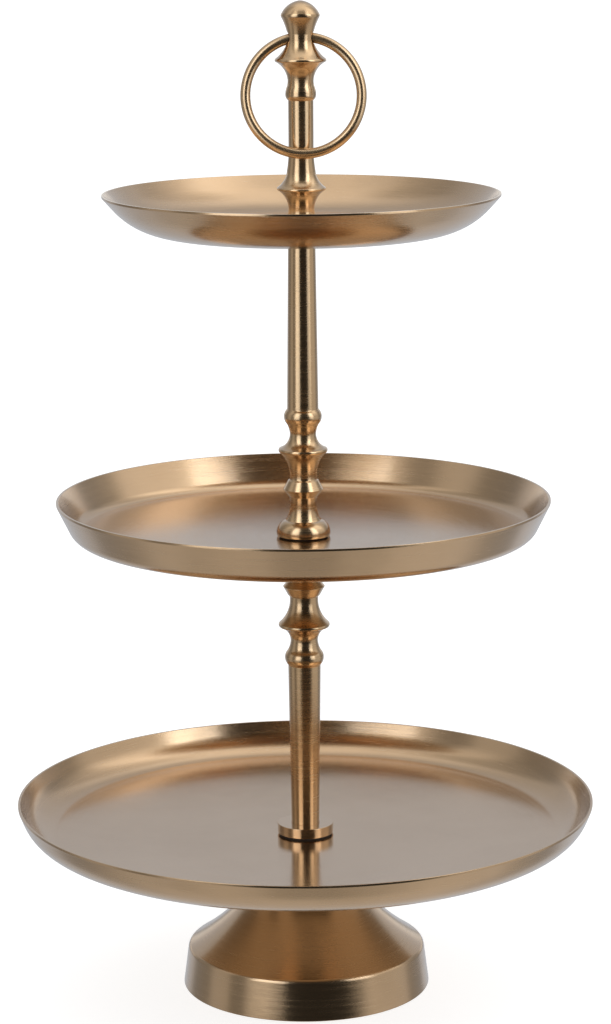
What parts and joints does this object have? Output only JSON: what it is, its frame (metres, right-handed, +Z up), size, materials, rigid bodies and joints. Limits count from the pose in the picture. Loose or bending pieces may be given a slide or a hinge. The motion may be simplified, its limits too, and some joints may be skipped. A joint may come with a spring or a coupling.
{
  "type": "tiered cake stand",
  "caption": "Free-standing stand with dished round trays stacked on turned columns, a hollow trumpet foot and a loose carrying ring through the knob's neck.",
  "frame": {"origin": "on the table, on the stand's centre line, level with the undersides of the foot pads", "axes": "+Z up along the centre line from the foot to the knob; the handle ring leans towards -Y, the front; +X is to the right seen from the front and is parallel to the ring's hinge line"},
  "size_m": [0.3, 0.3, 0.5128],
  "materials": {
    "brushed_bronze": "brushed in circles and lacquered, satin, warm bronze",
    "polished_bronze": "polished turned metal, warm bronze",
    "zinc_steel": "zinc plated",
    "rubber": "dark soft rubber"
  },
  "bodies": {
    "stand": {"pedestal_base": "brushed_bronze", "foot_pad_1": "rubber", "foot_pad_2": "rubber", "foot_pad_3": "rubber", "foot_pad_4": "rubber", "base_bolt": "zinc_steel", "base_washer": "zinc_steel", "base_spring_washer": "zinc_steel", "pedestal_gasket": "rubber", "bottom_tray": "brushed_bronze", "collar_washer": "rubber", "column_collar": "brushed_bronze", "lower_column": "polished_bronze", "middle_washer_lower": "rubber", "middle_tray": "brushed_bronze", "middle_washer_upper": "rubber", "middle_stud": "zinc_steel", "upper_column": "polished_bronze", "top_washer_lower": "rubber", "top_tray": "brushed_bronze", "top_washer_upper": "rubber", "top_stud": "zinc_steel", "handle_stem": "polished_bronze"},
    "ring": {"handle_ring": "polished_bronze"}
  },
  "joints": [
    {"name": "ring_swing", "type": "hinge", "parent": "stand", "child": "ring", "pos_m": [0, 0, 0.4941], "axis": [-1, 0, 0], "range_deg": [0, 341]}
  ]
}
